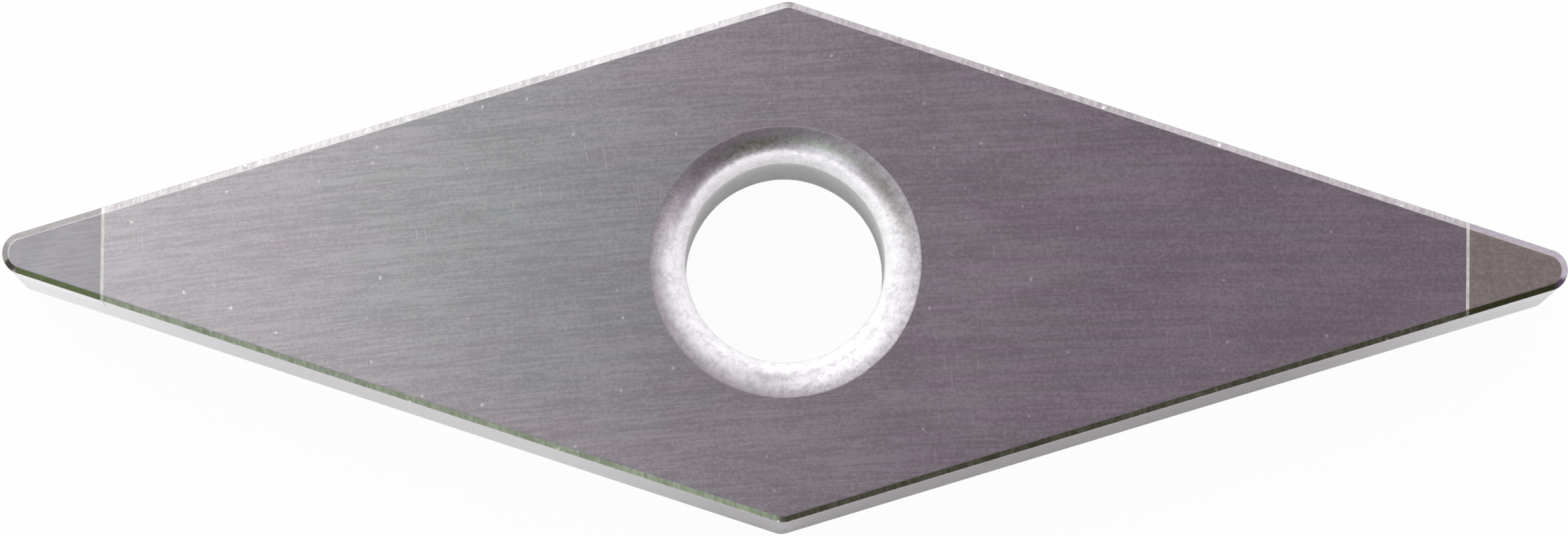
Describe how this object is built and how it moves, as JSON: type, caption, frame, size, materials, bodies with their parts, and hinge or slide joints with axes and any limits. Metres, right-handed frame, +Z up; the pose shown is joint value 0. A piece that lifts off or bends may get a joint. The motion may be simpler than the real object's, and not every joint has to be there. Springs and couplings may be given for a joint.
{
  "type": "cbn turning insert",
  "caption": "Flat rhombic turning insert with square flanks, a ground edge land, hard tips brazed into its acute corners and a central clamping hole with rounded mouths.",
  "frame": {"origin": "on the clamping hole's axis, in the plane of the seat face", "axes": "+Z up towards the rake face, +X along the long diagonal, +Y along the short diagonal"},
  "size_m": [0.0298, 0.01, 0.0048],
  "materials": {
    "cemented_carbide": "fine ground, grey; as sintered and matte in the mouths of the hole",
    "cubic_boron_nitride": "fine ground, dark grey",
    "silver_braze": "bright, ground flush"
  },
  "bodies": {
    "root": {"insert_body": "cemented_carbide", "cbn_tip_left": "cubic_boron_nitride", "cbn_tip_right": "cubic_boron_nitride", "braze_seam_left": "silver_braze", "braze_seam_right": "silver_braze"}
  },
  "joints": []
}
